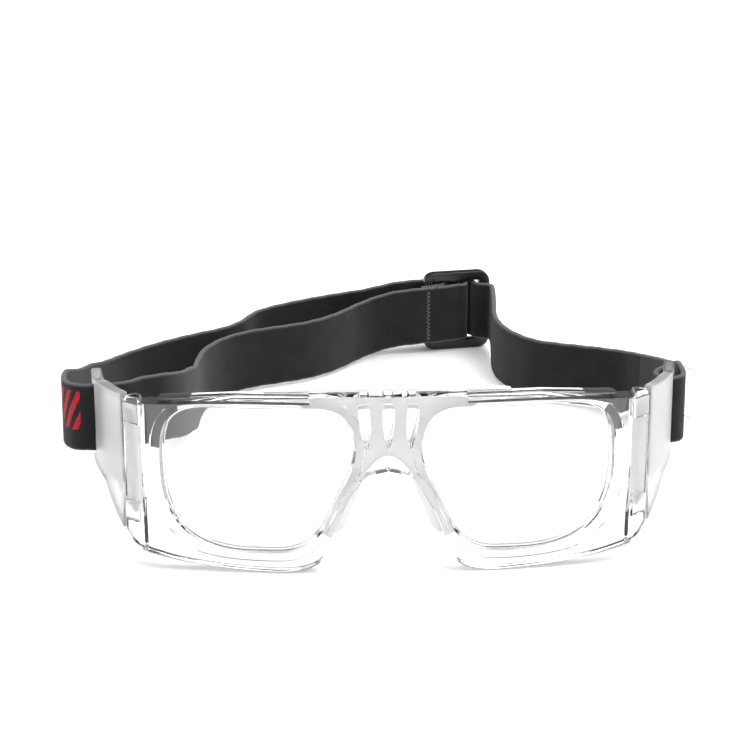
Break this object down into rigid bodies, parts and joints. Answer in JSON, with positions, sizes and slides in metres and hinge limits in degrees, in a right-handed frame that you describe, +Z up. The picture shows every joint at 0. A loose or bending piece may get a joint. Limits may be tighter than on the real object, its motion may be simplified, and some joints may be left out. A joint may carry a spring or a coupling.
{
  "type": "sports protective goggles",
  "caption": "Clear wraparound protective goggles with rounded lenses, soft nose and side pads, and an elastic head strap with a slide adjuster.",
  "frame": {"origin": "centre of the footprint of the whole object as it stands, at floor level", "axes": "+Z up, -Y is where the wearer looks, +X across the face towards the wearer's left hand side"},
  "size_m": [0.1728, 0.1873, 0.0508],
  "materials": {
    "clear_polycarbonate": "clear injection moulded polycarbonate, polished, water white",
    "lens_polycarbonate": "clear hard coated polycarbonate lens",
    "frosted_silicone": "frosted translucent silicone rubber, matt",
    "black_webbing": "woven black elastic webbing with fine lengthwise ribs",
    "black_acetal": "black moulded acetal, semi-gloss",
    "sewing_thread": "black bonded nylon sewing thread"
  },
  "bodies": {
    "goggle_front": {"front_frame": "clear_polycarbonate", "right_lens": "lens_polycarbonate", "left_lens": "lens_polycarbonate", "right_arm": "clear_polycarbonate", "left_arm": "clear_polycarbonate", "right_side_pad": "frosted_silicone", "left_side_pad": "frosted_silicone", "nose_pad": "frosted_silicone", "strap_left_loop": "black_webbing", "strap_right_loop": "black_webbing", "arm_seam_thread": "sewing_thread"},
    "strap": {"strap_left_outer": "black_webbing", "strap_left_inner": "black_webbing", "strap_right_run": "black_webbing"},
    "adjuster": {"slider": "black_acetal", "strap_sewn_end": "black_webbing", "strap_woven_pass": "black_webbing", "slider_seam_thread": "sewing_thread"}
  },
  "joints": [
    {"name": "strap_lift", "type": "hinge", "parent": "goggle_front", "child": "strap", "pos_m": [0.00108, -0.06259, 0.03462], "axis": [1, 0, 0], "range_deg": [0, 60], "deforming": ["strap_left_loop", "strap_right_loop"]},
    {"name": "slider_slide", "type": "slide", "parent": "strap", "child": "adjuster", "axis": [0.9888, 0.1494, 0], "range_m": [-0.03, 0], "deforming": ["strap_left_outer", "strap_left_inner", "strap_right_run"]}
  ]
}
